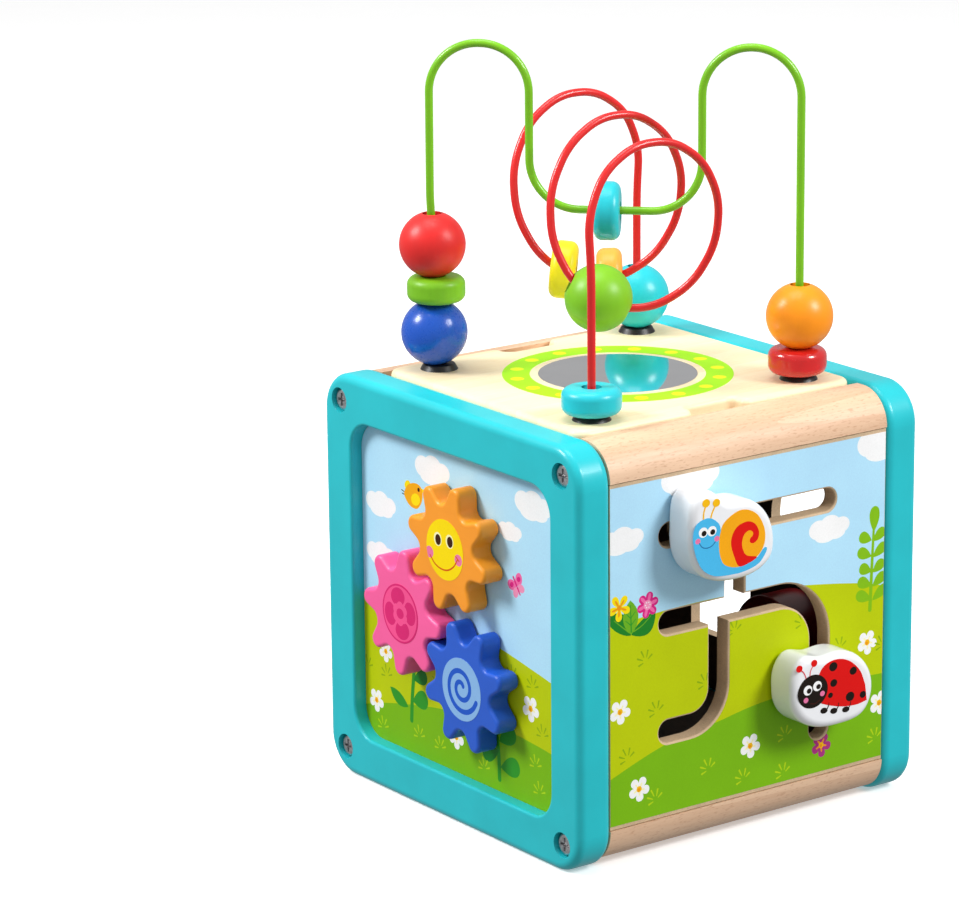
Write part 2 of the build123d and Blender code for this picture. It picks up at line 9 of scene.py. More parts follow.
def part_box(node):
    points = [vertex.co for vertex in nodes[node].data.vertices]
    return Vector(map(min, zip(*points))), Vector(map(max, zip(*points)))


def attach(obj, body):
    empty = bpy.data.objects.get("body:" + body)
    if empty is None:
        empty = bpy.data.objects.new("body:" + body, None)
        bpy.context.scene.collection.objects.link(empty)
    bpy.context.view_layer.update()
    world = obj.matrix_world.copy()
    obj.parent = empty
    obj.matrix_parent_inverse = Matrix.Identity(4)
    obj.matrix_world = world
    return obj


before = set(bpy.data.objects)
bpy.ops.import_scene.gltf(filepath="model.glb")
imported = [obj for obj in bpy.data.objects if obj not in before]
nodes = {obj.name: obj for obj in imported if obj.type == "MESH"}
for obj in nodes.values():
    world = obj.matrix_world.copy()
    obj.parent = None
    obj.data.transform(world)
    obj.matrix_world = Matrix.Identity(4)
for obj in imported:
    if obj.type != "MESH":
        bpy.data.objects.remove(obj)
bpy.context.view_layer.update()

# The wooden activity cube at rest. Metres in the scene; pictures are drawn in millimetres on their own face.
MM = 0.001
FILM = 0.12  # thickness of a printed film
SHADE_DEPTH = 0.3  # depth over which a board's inner face is darkened: painted shade for the inside of the cube


# ---------------------------------------------------------------- colours and shader nodes

def linear(rgb):
    """An sRGB colour, 0 to 255, as the linear RGBA that shaders take."""
    out = []
    for c in rgb:
        c /= 255
        out.append(c / 12.92 if c <= 0.04045 else ((c + 0.055) / 1.055) ** 2.4)
    return (*out, 1.0)


def shade(rgb, k):
    return tuple(max(0.0, min(255.0, c * k)) for c in rgb)


class Nodes:
    """A small helper that builds a material's node tree."""

    def __init__(self, name):
        self.material = bpy.data.materials.new(name)
        self.material.use_nodes = True
        self.tree = self.material.node_tree
        self.bsdf = self.tree.nodes["Principled BSDF"]

    def add(self, kind, inputs=None, **settings):
        node = self.tree.nodes.new(kind)
        for key, value in settings.items():
            setattr(node, key, value)
        for key, value in (inputs or {}).items():
            self.put(node, key, value)
        return node

    def put(self, node, key, value):
        socket = node.inputs[key]
        if isinstance(value, bpy.types.NodeSocket):
            self.tree.links.new(value, socket)
        else:
            socket.default_value = value

    def set(self, **values):
        for key, value in values.items():
            self.put(self.bsdf, key.replace("_", " "), value)

    def place(self, scale=(1, 1, 1), offset=(0, 0, 0)):
        """Object coordinates, stretched."""
        coords = self.add("ShaderNodeTexCoord")
        return self.add(
            "ShaderNodeMapping",
            {"Vector": coords.outputs["Object"], "Scale": scale, "Location": offset},
        ).outputs["Vector"]

    def noise(self, vector, scale, detail=3.0, roughness=0.55):
        return self.add(
            "ShaderNodeTexNoise",
            {
                "Vector": vector,
                "Scale": scale,
                "Detail": detail,
                "Roughness": roughness,
            },
        ).outputs["Fac"]

    def remap(self, value, low, high, to_low=0.0, to_high=1.0):
        return self.add(
            "ShaderNodeMapRange",
            {
                "Value": value,
                "From Min": low,
                "From Max": high,
                "To Min": to_low,
                "To Max": to_high,
            },
        ).outputs["Result"]

    def mix(self, factor, a, b):
        node = self.add("ShaderNodeMix", data_type="RGBA")
        self.put(node, 0, factor)
        self.put(node, 6, a)
        self.put(node, 7, b)
        return node.outputs[2]

    def maths(self, operation, a, b=0.0):
        node = self.add("ShaderNodeMath", operation=operation)
        self.put(node, 0, a)
        self.put(node, 1, b)
        return node.outputs[0]

    def bump(self, height, distance, strength=1.0):
        return self.add(
            "ShaderNodeBump",
            {"Height": height, "Distance": distance, "Strength": strength},
        ).outputs["Normal"]


def paint(name, rgb, rough, coat, coat_rough, tone, grain_axis=None, peel=0.000004, shine=0.35):
    """Brushed or sprayed enamel: slightly uneven colour, sheen and surface, with wood grain faintly showing."""
    n = Nodes(name)
    flat = n.place()
    cloudy = n.noise(flat, 38.0, 3.0)
    speck = n.noise(flat, 650.0, 2.0)
    height = speck
    if grain_axis is not None:
        stretch = [1.0, 1.0, 1.0]
        stretch[grain_axis] = 0.06
        fibre = n.noise(n.place(stretch), 420.0, 4.0, 0.6)
        cloudy = n.mix(0.35, cloudy, fibre)
        height = n.maths("ADD", speck, n.maths("MULTIPLY", fibre, 1.6))
    tint = n.remap(cloudy, 0.3, 0.7)
    n.set(
        Base_Color=n.mix(tint, linear(shade(rgb, 1 - tone)), linear(shade(rgb, 1 + tone * 0.6))),
        Roughness=n.remap(speck, 0.25, 0.75, rough - 0.03, rough + 0.04),
        Specular_IOR_Level=shine,
        Coat_Weight=coat,
        Coat_Roughness=coat_rough,
        Normal=n.bump(height, peel),
    )
    return n.material


def wood(name, light, dark, fleck, axis=1, rings=7.0, rough=0.5, contrast=1.0, flecks=1.0):
    """Clear-lacquered wood with its grain along one axis: growth rings, fibres and small ray flecks."""
    n = Nodes(name)
    long_way = [1.0, 1.0, 1.0]
    long_way[axis] = 0.05
    stretched = n.place(long_way, (0.013, 0.0, 0.021))
    bend = n.noise(n.place([s * 0.6 if i == axis else s for i, s in enumerate(long_way)]), 14.0, 2.0)
    wave = n.add(
        "ShaderNodeTexWave",
        {
            "Vector": stretched,
            "Scale": 0.314 / (rings * MM),
            "Distortion": 5.5,
            "Detail": 3.0,
            "Detail Scale": 0.35,
            "Detail Roughness": 0.6,
            "Phase Offset": n.maths("MULTIPLY", bend, 26.0),
        },
        wave_type="BANDS",
        bands_direction="DIAGONAL",
        wave_profile="SAW",
    ).outputs["Fac"]
    fibre = n.noise(stretched, 900.0, 4.0, 0.65)
    broad = n.noise(stretched, 60.0, 3.0, 0.5)
    ray_stretch = [1.0, 1.0, 1.0]
    ray_stretch[axis] = 0.22
    rays = n.noise(n.place(ray_stretch, (0.4, 0.1, 0.7)), 1500.0, 1.5, 0.4)
    fleck_mask = n.remap(rays, 0.58, 0.7, 0.0, 0.5 * flecks)
    tone = n.maths(
        "ADD",
        n.maths("MULTIPLY", wave, 0.42 * contrast),
        n.maths(
            "ADD",
            n.maths("MULTIPLY", n.remap(fibre, 0.3, 0.7), 0.38 * contrast),
            n.maths("MULTIPLY", n.remap(broad, 0.35, 0.65), 0.35 * contrast),
        ),
    )
    colour = n.mix(tone, linear(light), linear(dark))
    n.set(
        Base_Color=n.mix(fleck_mask, colour, linear(fleck)),
        Roughness=n.remap(fibre, 0.3, 0.7, rough - 0.07, rough + 0.09),
        Coat_Weight=0.12,
        Coat_Roughness=0.3,
        Normal=n.bump(n.maths("SUBTRACT", fibre, n.maths("MULTIPLY", fleck_mask, 0.6)), 0.00006),
    )
    return n.material


def board(name, rgb, inner=None, inner_shade_rgb=(74, 60, 48)):
    """Cut fibreboard: fine even fibres with no grain direction, and painted shade on its inner face: a dark brown
    standing in for the shade inside the cube.
    """
    n = Nodes(name)
    flat = n.place()
    fine = n.noise(flat, 1500.0, 4.0, 0.7)
    blotch = n.noise(flat, 90.0, 3.0)
    tint = n.maths("ADD", n.maths("MULTIPLY", fine, 0.6), n.maths("MULTIPLY", blotch, 0.4))
    spread = n.remap(tint, 0.35, 0.65)
    colour = n.mix(spread, linear(shade(rgb, 0.9)), linear(shade(rgb, 1.07)))
    if inner is not None:
        axis, start, end = inner
        across = n.add("ShaderNodeSeparateXYZ", {"Vector": flat}).outputs[axis]
        # Painted shade: the inner face takes a dark brown, standing in for the shade inside the closed cube.
        painted_shade = n.mix(spread, linear(shade(inner_shade_rgb, 0.8)), linear(shade(inner_shade_rgb, 1.15)))
        colour = n.mix(n.remap(across, start, end), painted_shade, colour)
    n.set(
        Base_Color=colour,
        Roughness=n.remap(fine, 0.3, 0.7, 0.66, 0.82),
        Normal=n.bump(fine, 0.00012),
    )
    return n.material


def metal(name, rgb, rough):
    """Brushed metal with fine scratches."""
    n = Nodes(name)
    fine = n.noise(n.place(), 900.0, 3.0, 0.6)
    n.set(
        Base_Color=n.mix(n.remap(fine, 0.35, 0.65), linear(shade(rgb, 0.88)), linear(shade(rgb, 1.06))),
        Metallic=1.0,
        Roughness=n.remap(fine, 0.3, 0.7, rough - 0.06, rough + 0.08),
        Normal=n.bump(fine, 0.00002),
    )
    return n.material


def mirror_film(name, rgb):
    """Silvered film under clear plastic: nearly perfect, with a faint haze and a very slight waviness."""
    n = Nodes(name)
    haze = n.noise(n.place(), 30.0, 3.0, 0.5)
    n.set(
        Base_Color=n.mix(n.remap(haze, 0.35, 0.65), linear(shade(rgb, 0.985)), linear(shade(rgb, 1.01))),
        Metallic=1.0,
        Roughness=n.remap(haze, 0.3, 0.7, 0.015, 0.035),
        Normal=n.bump(haze, 0.00001),
    )
    return n.material


def rubber(name, rgb, rough=0.38):
    """Moulded plastic with a fine matt texture."""
    n = Nodes(name)
    flat = n.place()
    fine = n.noise(flat, 1300.0, 3.0, 0.6)
    n.set(
        Base_Color=n.mix(n.remap(fine, 0.3, 0.7), linear(shade(rgb, 0.8)), linear(shade(rgb, 1.25))),
        Roughness=n.remap(fine, 0.3, 0.7, rough - 0.06, rough + 0.1),
        Normal=n.bump(fine, 0.00004),
    )
    return n.material


X_AXIS, Y_AXIS, Z_AXIS = 0, 1, 2
base_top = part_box("base_panel")[1][2]
M = {
    "turquoise": paint("turquoise_enamel", (35, 193, 203), 0.34, 0.22, 0.16, 0.025, shine=0.25),
    "beech": wood("beech_rail_wood", (238, 203, 170), (216, 174, 140), (190, 140, 106), Y_AXIS, 9.0, 0.48),
    "lid": wood(
        "pale_lid_wood", (252, 239, 202), (242, 217, 170), (228, 198, 150), Y_AXIS, 13.0, 0.42, 0.75, 0.35
    ),
    "dowel": wood(
        "bare_dowel_wood", (240, 212, 172), (220, 182, 138), (190, 146, 102), Y_AXIS, 4.0, 0.58, 0.8, 0.6
    ),
    # The base's top face, inside the cube, gets painted shade: a dark brown band.
    "base": board("base_fibreboard", (176, 148, 116), (Z_AXIS, base_top, base_top - SHADE_DEPTH * MM)),
    "steel": metal("screw_steel_metal", (196, 195, 197), 0.4),
    "mirror": mirror_film("mirror_film_metal", (226, 226, 229)),
    "black": rubber("black_grommet_plastic", (16, 15, 15)),
    "red_wire": paint("red_wire_enamel", (222, 34, 34), 0.3, 0.3, 0.12, 0.03, peel=0.000001),
    "green_wire": paint("green_wire_enamel", (122, 192, 26), 0.3, 0.3, 0.12, 0.03, peel=0.000001),
    "red_satin": paint("red_satin_bead", (226, 40, 38), 0.4, 0.08, 0.3, 0.04, Z_AXIS),
    "red_gloss": paint("red_gloss_disc", (206, 28, 30), 0.24, 0.6, 0.05, 0.03, Z_AXIS),
    "green": paint("green_bead_paint", (124, 190, 30), 0.4, 0.08, 0.3, 0.04, Z_AXIS),
    "blue": paint("blue_bead_paint", (26, 84, 190), 0.28, 0.25, 0.12, 0.05, Z_AXIS),
    "teal": paint("teal_bead_paint", (36, 196, 208), 0.34, 0.12, 0.2, 0.03, Z_AXIS),
    "orange": paint("orange_bead_paint", (255, 150, 18), 0.36, 0.12, 0.25, 0.03, Z_AXIS),
    "yellow": paint("yellow_bead_paint", (255, 236, 26), 0.38, 0.1, 0.25, 0.03, Z_AXIS),
    "orange_light": paint("light_orange_bead_paint", (255, 176, 66), 0.38, 0.1, 0.25, 0.03, Z_AXIS),
    "dark_red": paint("dark_red_block_paint", (118, 12, 18), 0.36, 0.15, 0.2, 0.06, Z_AXIS),
    "gear_orange": paint("orange_gear_paint", (255, 158, 36), 0.38, 0.12, 0.22, 0.03, X_AXIS),
    "gear_pink": paint("pink_gear_paint", (255, 96, 162), 0.38, 0.12, 0.22, 0.03, X_AXIS),
    "gear_blue": paint("blue_gear_paint", (34, 92, 206), 0.38, 0.12, 0.22, 0.035, X_AXIS),
    "white": paint("white_gloss_paint", (242, 243, 246), 0.22, 0.5, 0.05, 0.012, peel=0.000001),
}


def finish_nodes(material, *names):
    """Gives CAD nodes their finish, in every material slot that they have."""
    for name in names:
        node = nodes[name]
        if not node.material_slots:
            node.data.materials.append(M[material])
        for slot in node.material_slots:
            slot.link = "OBJECT"
            slot.material = M[material]


finish_nodes("turquoise", "front_frame", "back_frame")
finish_nodes("beech", "top_rail_right", "top_rail_left", "bottom_rail_right", "bottom_rail_left")
# Each panel's inner face gets painted shade: a dark brown for the unlit inside of the cube.
for panel, axis, side in (
    ("gear_panel", Y_AXIS, 1),
    ("sorter_panel", Y_AXIS, 0),
    ("maze_panel", X_AXIS, 0),
    ("plain_panel", X_AXIS, 1),
):
    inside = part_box(panel)[side][axis]
    outwards = -1 if side else 1
    M[panel] = board(panel + "_fibreboard", (206, 178, 144), (axis, inside, inside + outwards * SHADE_DEPTH * MM))
    finish_nodes(panel, panel)
finish_nodes("base", "base_panel")
finish_nodes("steel", *(n for n in nodes if n.startswith("screw_")))
finish_nodes("lid", "lid")
finish_nodes("mirror", "mirror")
finish_nodes("black", *(n for n in nodes if n.startswith("grommet_")))
finish_nodes("green_wire", "green_wire")
finish_nodes("red_wire", "red_wire")
finish_nodes("blue", "blue_ball")
finish_nodes("green", "green_disc", "coil_ball")
finish_nodes("red_satin", "red_ball")
finish_nodes("red_gloss", "red_disc")
finish_nodes("orange", "orange_ball")
finish_nodes("teal", "teal_disc", "teal_ball", "dip_disc")
finish_nodes("yellow", "coil_yellow_disc")
finish_nodes("orange_light", "coil_orange_disc")
finish_nodes("gear_orange", "sun_gear")
finish_nodes("gear_pink", "flower_gear")
finish_nodes("gear_blue", "spiral_gear")
finish_nodes("white", "snail_block", "ladybug_block")
finish_nodes("dowel", *(n for n in nodes if n.endswith(("_axle", "_retainer", "_pin"))))
finish_nodes("dark_red", "shape_block")


# ---------------------------------------------------------------- flat shapes, in millimetres

def oval(x, y, rx, ry=None, turn=0.0, count=40):
    ry = rx if ry is None else ry
    c, s = math.cos(math.radians(turn)), math.sin(math.radians(turn))
    out = []
    for i in range(count):
        a = 2 * math.pi * i / count
        px, py = rx * math.cos(a), ry * math.sin(a)
        out.append((x + px * c - py * s, y + px * s + py * c))
    return out


def smooth(points, closed=True, steps=6):
    """A Catmull-Rom curve through the points."""
    pts = [Vector(p) for p in points]
    count = len(pts)
    out = []
    for i in range(count if closed else count - 1):
        p1, p2 = pts[i], pts[(i + 1) % count]
        p0 = pts[i - 1] if closed or i else p1 * 2 - p2
        p3 = pts[(i + 2) % count] if closed or i + 2 < count else p2 * 2 - p1
        for k in range(steps):
            t = k / steps
            out.append(
                0.5 * (2 * p1 + (p2 - p0) * t + (2 * p0 - 5 * p1 + 4 * p2 - p3) * t * t
                       + (3 * p1 - p0 - 3 * p2 + p3) * t ** 3)
            )
    if not closed:
        out.append(pts[-1])
    return [tuple(p) for p in out]


def stroke(points, width, end_width=None, steps=6):
    """A brush stroke along a smooth open curve, with round ends."""
    end_width = width if end_width is None else end_width
    line = [Vector(p) for p in smooth(points, False, steps)]
    left, right = [], []
    last = len(line) - 1
    for i, p in enumerate(line):
        ahead = line[min(i + 1, last)] - line[max(i - 1, 0)]
        side = Vector((-ahead.y, ahead.x)).normalized()
        half = (width + (end_width - width) * i / last) / 2
        left.append(p + side * half)
        right.append(p - side * half)

    def cap(centre, start, half):
        a0 = math.atan2(start.y - centre.y, start.x - centre.x)
        return [centre + Vector((math.cos(a0 - math.pi * k / 8), math.sin(a0 - math.pi * k / 8))) * half
                for k in range(1, 8)]

    outline = left + cap(line[-1], left[-1], end_width / 2) + right[::-1] + cap(line[0], right[0], width / 2)
    return [tuple(p) for p in outline]


def drop(x, y, length, width, angle, count=28):
    """A leaf or petal: pointed at (x, y), round at its far end."""
    c, s = math.cos(math.radians(angle)), math.sin(math.radians(angle))
    out = []
    for i in range(count):
        a = 2 * math.pi * i / count
        along = length * (1 - math.cos(a)) / 2
        across = width / 2 * math.sin(a) * math.sin(a / 2) ** 0.9 * 1.12
        out.append((x + along * c - across * s, y + along * s + across * c))
    return out


def leaf(x0, y0, x1, y1, width, bow=0.0, steps=9):
    """A leaf pointed at both ends, bowed to one side."""
    a, b = Vector((x0, y0)), Vector((x1, y1))
    along = b - a
    side = Vector((-along.y, along.x)).normalized()
    up, down = [], []
    for i in range(steps + 1):
        t = i / steps
        swell = math.sin(math.pi * t) ** 0.8
        middle = a + along * t + side * bow * math.sin(math.pi * t)
        up.append(middle + side * width / 2 * swell)
        down.append(middle - side * width / 2 * swell)
    return [tuple(p) for p in up + down[-2:0:-1]]


def rounded_box(x0, y0, x1, y1, radius, steps=8):
    out = []
    for cx, cy, start in (
        (x1 - radius, y1 - radius, 0),
        (x0 + radius, y1 - radius, 90),
        (x0 + radius, y0 + radius, 180),
        (x1 - radius, y0 + radius, 270),
    ):
        for k in range(steps + 1):
            a = math.radians(start + 90 * k / steps)
            out.append((cx + radius * math.cos(a), cy + radius * math.sin(a)))
    return out


def track(points, half):
    """The outline of a slot whose centre line runs straight between the points."""
    out = []
    for (x0, y0), (x1, y1) in zip(points, points[1:]):
        along = Vector((x1 - x0, y1 - y0)).normalized()
        side = Vector((-along.y, along.x)) * half
        a, b = Vector((x0, y0)), Vector((x1, y1))
        out.append([tuple(a + side), tuple(a - side), tuple(b - side), tuple(b + side)])
    out += [oval(x, y, half, count=48) for x, y in points]
    return out


def arc(x, y, radius, start, end, count=14):
    return [
        (x + radius * math.cos(math.radians(start + (end - start) * k / count)),
         y + radius * math.sin(math.radians(start + (end - start) * k / count)))
        for k in range(count + 1)
    ]


# ---------------------------------------------------------------- printing

INKS = {
    "sky": (183, 229, 255), "white": (250, 250, 250), "hill": (190, 206, 2), "meadow": (124, 186, 16),
    "leaf": (48, 152, 40), "leaf_dark": (30, 130, 38), "leaf_light": (108, 178, 34), "fern": (134, 192, 22),
    "blade_dark": (142, 176, 8), "blade_meadow": (182, 214, 22),
    "yellow": (252, 224, 10), "gold": (250, 190, 14), "amber": (240, 152, 20), "cream": (255, 248, 190),
    "pink": (244, 108, 172), "magenta": (222, 36, 132), "rose": (246, 150, 190), "berry": (172, 52, 128),
    "bird": (242, 170, 16), "ink": (26, 18, 12), "brown": (62, 30, 6), "trunk": (150, 96, 48),
    "smile": (214, 92, 8), "smile_dark": (66, 22, 12), "smile_blue": (38, 110, 164), "cheek": (236, 120, 168),
    "sun_yellow": (255, 222, 0), "petal": (222, 40, 116), "gear_pink_light": (250, 84, 148),
    "spiral_pale": (138, 184, 232), "spiral_line": (34, 90, 200),
    "snail": (74, 186, 236), "shell": (250, 172, 18), "shell_red": (226, 18, 12),
    "bug_red": (224, 16, 14), "antenna_red": (222, 84, 92), "lime": (164, 236, 14), "lime_dot": (236, 255, 14),
    "ring_orange": (252, 150, 30), "ring_blue": (52, 120, 210), "ring_pink": (240, 84, 150),
}
ink_materials = {}


def ink(name):
    """Screen-printed ink: a nearly even colour with a fine dot texture and a satin varnish over it."""
    if name not in ink_materials:
        n = Nodes("print_" + name)
        flat = n.place()
        dots = n.noise(flat, 1400.0, 2.0)
        wash = n.noise(flat, 26.0, 2.0)
        tint = n.maths("ADD", n.maths("MULTIPLY", dots, 0.4), n.maths("MULTIPLY", wash, 0.6))
        rgb = INKS[name]
        n.set(
            Base_Color=n.mix(n.remap(tint, 0.32, 0.68), linear(shade(rgb, 0.965)), linear(shade(rgb, 1.02))),
            Roughness=n.remap(dots, 0.3, 0.7, 0.42, 0.5),
            Specular_IOR_Level=0.14,
            Coat_Weight=0.02,
            Coat_Roughness=0.25,
            Normal=n.bump(dots, 0.000003),
        )
        ink_materials[name] = n.material
    return ink_materials[name]


class Face:
    """A flat face that carries a picture: where (0, 0) is, and which ways are across, up and out of it."""

    def __init__(self, origin, across, up):
        self.origin = Vector(origin)
        self.across, self.up = Vector(across), Vector(up)
        self.normal = self.across.cross(self.up)

    def at(self, x, y, lift):
        return self.origin + (self.across * x + self.up * y + self.normal * lift) * MM


def counter_clockwise(points):
    area = sum(a[0] * b[1] - b[0] * a[1] for a, b in zip(points, points[1:] + points[:1]))
    return points if area > 0 else points[::-1]


def printed(name, body, face, layers, page=None, holes=()):
    """One printed film. Layers are (ink, outline), later ones on top.

    page cuts them to an outline, and holes are left bare.
    """
    points, outlines = [], []

    def outline(shape):
        shape = counter_clockwise([tuple(p) for p in shape])
        outlines.append(list(range(len(points), len(points) + len(shape))))
        points.extend(Vector(p) for p in shape)

    for _, shape in layers:
        outline(shape)
    first_hole = len(outlines)
    for shape in holes:
        outline(shape)
    page_id = len(outlines)
    if page:
        outline(page)
    flat, _, faces, _, _, sources = delaunay_2d_cdt(points, [], outlines, 1, 1e-5)
    inks = []
    bm = bmesh.new()
    verts = [bm.verts.new(face.at(p.x, p.y, 0.0)) for p in flat]
    for corners, ids in zip(faces, sources):
        covers = [i for i in ids if i < first_hole]
        if not covers or any(first_hole <= i < page_id for i in ids) or (page and page_id not in ids):
            continue
        colour = layers[max(covers)][0]
        if colour not in inks:
            inks.append(colour)
        made = bm.faces.new([verts[i] for i in corners])
        made.material_index = inks.index(colour)
    bmesh.ops.delete(bm, geom=[v for v in bm.verts if not v.link_faces], context="VERTS")
    bmesh.ops.dissolve_limit(
        bm,
        angle_limit=0.01,
        verts=bm.verts[:],
        edges=bm.edges[:],
        delimit={"MATERIAL"},
        use_dissolve_boundaries=False,
    )
    bmesh.ops.triangulate(bm, faces=bm.faces[:])
    bottom = bm.faces[:]
    grown = bmesh.ops.extrude_face_region(bm, geom=bottom, use_keep_orig=True)
    for v in (g for g in grown["geom"] if isinstance(g, bmesh.types.BMVert)):
        v.co += face.normal * FILM * MM
    bmesh.ops.recalc_face_normals(bm, faces=bm.faces[:])
    mesh = bpy.data.meshes.new(name)
    bm.to_mesh(mesh)
    bm.free()
    for colour in inks:
        mesh.materials.append(ink(colour))
    piece = bpy.data.objects.new(name, mesh)
    bpy.context.scene.collection.objects.link(piece)
    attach(piece, body)


# Pieces of the meadow pictures. Each returns layers.

def cloud(x, y, s=1.0):
    puffs = (
        (-6.6, 0.4, 5.7, 4.6), (0.4, 1.2, 6.6, 5.2), (7.4, 0.6, 5.0, 3.9),
        (-2.2, -3.0, 6.6, 3.4), (4.2, -2.6, 5.6, 3.1),
    )
    return [("white", oval(x + dx * s, y + dy * s, rx * s, ry * s)) for dx, dy, rx, ry in puffs]


def tufts(colour, turn, places, s=0.85):
    """Small tufts of five blades of grass."""
    out = []
    for x, y in places:
        for lean, near, far in ((-78, 2.0, 5.0), (-38, 2.4, 6.0), (2, 2.8, 6.6), (42, 2.4, 6.0), (84, 2.0, 5.0)):
            a = math.radians(90 + turn + lean)
            c, d = math.cos(a) * s, math.sin(a) * s
            blade = [(x + c * near, y + d * near), (x + c * far, y + d * far)]
            out.append((colour, stroke(blade, 0.55 * s, 1.1 * s, 2)))
    return out


def daisy(x, y, petal="white", streak="cream", s=1.0, turn=0.0):
    angles = [turn + 59 + 72 * k for k in range(5)]
    out = [(petal, drop(x, y, 6.0 * s, 4.9 * s, a)) for a in angles]
    out += [(streak, drop(x, y, 3.4 * s, 1.1 * s, a, 16)) for a in angles]
    out += [("gold", oval(x, y, 1.5 * s, count=20))]
    return out + [("amber", oval(x - 0.2 * s, y - 0.3 * s, 0.8 * s, count=14))]


def stem(points):
    return [("leaf", stroke(points, 2.7))]


def hills(light, dark, edge):
    """Two rolling hills: their top edges, closed well below the picture."""
    down = [(edge, -20.0), (-edge, -20.0)]
    return [("hill", smooth(light, False) + down), ("meadow", smooth(dark, False) + down)]


def butterfly(x, y, s=1.0, turn=35.0):
    def at(px, py):
        c, d = math.cos(math.radians(turn)), math.sin(math.radians(turn))
        return x + (px * c - py * d) * s, y + (px * d + py * c) * s

    out = []
    for side in (-1, 1):
        out.append(("pink", oval(*at(side * 3.2, 1.8), 3.3 * s, 2.5 * s, turn + side * 40)))
        out.append(("rose", oval(*at(side * 2.5, -2.4), 2.5 * s, 2.0 * s, turn - side * 40)))
        out.append(("magenta", oval(*at(side * 3.2, 1.9), 1.5 * s, 1.2 * s, turn, 20)))
    out.append(("magenta", stroke([at(0, -4.4), at(0, 0), at(0, 4.4)], 0.9 * s, 1.2 * s, 3)))
    return out


def bird(x, y):
    body = [
        (-7.4, -0.6), (-4.6, 3.8), (0.6, 6.0), (5.4, 5.6), (7.6, 2.6),
        (6.6, -2.4), (3.0, -6.0), (-2.0, -6.0), (-5.6, -3.8),
    ]
    beak = [(5.4, 4.6), (10.0, 4.0), (5.8, 2.2)]

    def at(points):
        return [(x + px, y + py) for px, py in points]

    return [
        ("yellow", oval(x - 4.6, y + 4.0, 2.6, 2.0, 40)),
        ("ink", stroke(at([(-9.4, 0.6), (-6.4, -0.2)]), 0.5, 0.5, 2)),
        ("ink", stroke(at([(-9.0, -1.0), (-6.2, -1.4)]), 0.5, 0.5, 2)),
        ("yellow", smooth(at(beak), True, 3)),
        ("bird", smooth(at(body))),
        ("yellow", oval(x + 1.8, y - 1.8, 3.7, 2.9, 20)),
        ("brown", oval(x + 4.4, y + 3.5, 1.0, count=16)),
    ]


# ---------------------------------------------------------------- the gear side

gear_low, gear_high = (Vector(c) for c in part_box("gear_panel"))
window = 78.1
middle = (gear_low.z + gear_high.z) / 2 / MM
front = Face((0, gear_low.y, 0), (1, 0, 0), (0, 0, 1))
gear_centres = {}
for gear in ("sun", "flower", "spiral"):
    low, high = (Vector(c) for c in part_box(gear + "_axle"))
    gear_centres[gear] = ((low.x + high.x) / 2 / MM, (low.z + high.z) / 2 / MM)

meadow = [("sky", rounded_box(-window, middle - window, window, middle + window, 14.0))]
meadow += cloud(-62.8, 139.4) + cloud(-63.5, 114.6, 0.95) + cloud(40.0, 149.4, 0.72)
meadow += cloud(-20.5, 165.0, 1.12) + cloud(57.5, 165.2, 1.12)
meadow += hills(
    [(-84, 91.5), (-60, 95.4), (-30, 96.4), (0, 95.8), (12, 94.6), (31, 91.8), (47, 89.2), (68, 85.4), (84, 82.0)],
    [(-84, 34.0), (-66.5, 39.4), (-50, 43.4), (-33, 46.8), (-17, 49.6), (10, 52.4), (42, 53.0), (54, 52.4),
     (68, 51.2), (84, 49.0)],
    84.0,
)
meadow += stem([(-39.9, 37.8), (-38.8, 52.0), (-35.5, 74.0), (-31.5, 90.0)])
meadow += [
    ("leaf", leaf(-57.4, 50.0, -42.6, 43.6, 6.4, -0.8)),
    ("leaf", drop(-38.6, 47.6, 12.8, 10.6, 18)),
    ("leaf_dark", drop(-37.6, 58.6, 11.6, 8.6, 22)),
]
meadow += stem([(30.4, 27.8), (29.6, 42.0), (26.0, 58.0), (18.5, 70.0)])
meadow += [
    ("leaf", drop(30.4, 46.4, 14.6, 10.8, 32)),
    ("leaf", drop(31.4, 34.0, 15.2, 11.0, 14)),
    ("leaf_dark", drop(30.0, 41.6, 13.6, 9.4, 202)),
]
meadow += daisy(-69.0, 40.2, s=0.98) + daisy(54.8, 68.6, s=1.05)
meadow += daisy(-60.7, 66.8, s=0.9) + daisy(-3.6, 39.0, s=0.98)
meadow += tufts(
    "blade_dark", 10, ((-76.1, 55.4), (-60.0, 54.6), (56.5, 79.0), (63.8, 57.6), (41.2, 80.4), (-18.0, 61.0))
)
meadow += tufts(
    "blade_meadow", 10, ((-63.6, 27.6), (-33.6, 31.0), (-16.6, 30.0), (18.4, 29.4), (58.4, 41.6), (61.2, 29.4))
)
meadow += bird(-36.0, 149.8) + butterfly(44.8, 124.8)
window_page = rounded_box(-window, middle - window, window, middle + window, 14.0)
printed("gear_side_print", "cube", front, meadow, window_page,
        [oval(*c, 4.3) for c in gear_centres.values()])

# ---------------------------------------------------------------- the slot maze side

maze_low, maze_high = (Vector(c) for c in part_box("maze_panel"))
right = Face((maze_high.x, 0, 0), (0, 1, 0), (0, 0, 1))
bare_side, bare_strip = 0.2, 1.7
page_y = (maze_low.y / MM + bare_side, maze_high.y / MM - bare_side)
page_z = (maze_low.z / MM + bare_strip, maze_high.z / MM - bare_strip)
page = [(page_y[0], page_z[0]), (page_y[1], page_z[0]), (page_y[1], page_z[1]), (page_y[0], page_z[1])]
bare = 6.45
slots = track([(-47.6, 153.0), (45.5, 153.0)], bare)
slots += track([(-9.1, 153.0), (-9.1, 111.6)], bare)
slots += track([(-47.6, 111.6), *arc(17.8, 87.4, 24.2, 90, 0), (42.0, 43.2)], bare)
slots += track([(-18.4, 111.6), *arc(-34.9, 76.4, 16.5, 0, -90), (-47.6, 59.9)], bare)

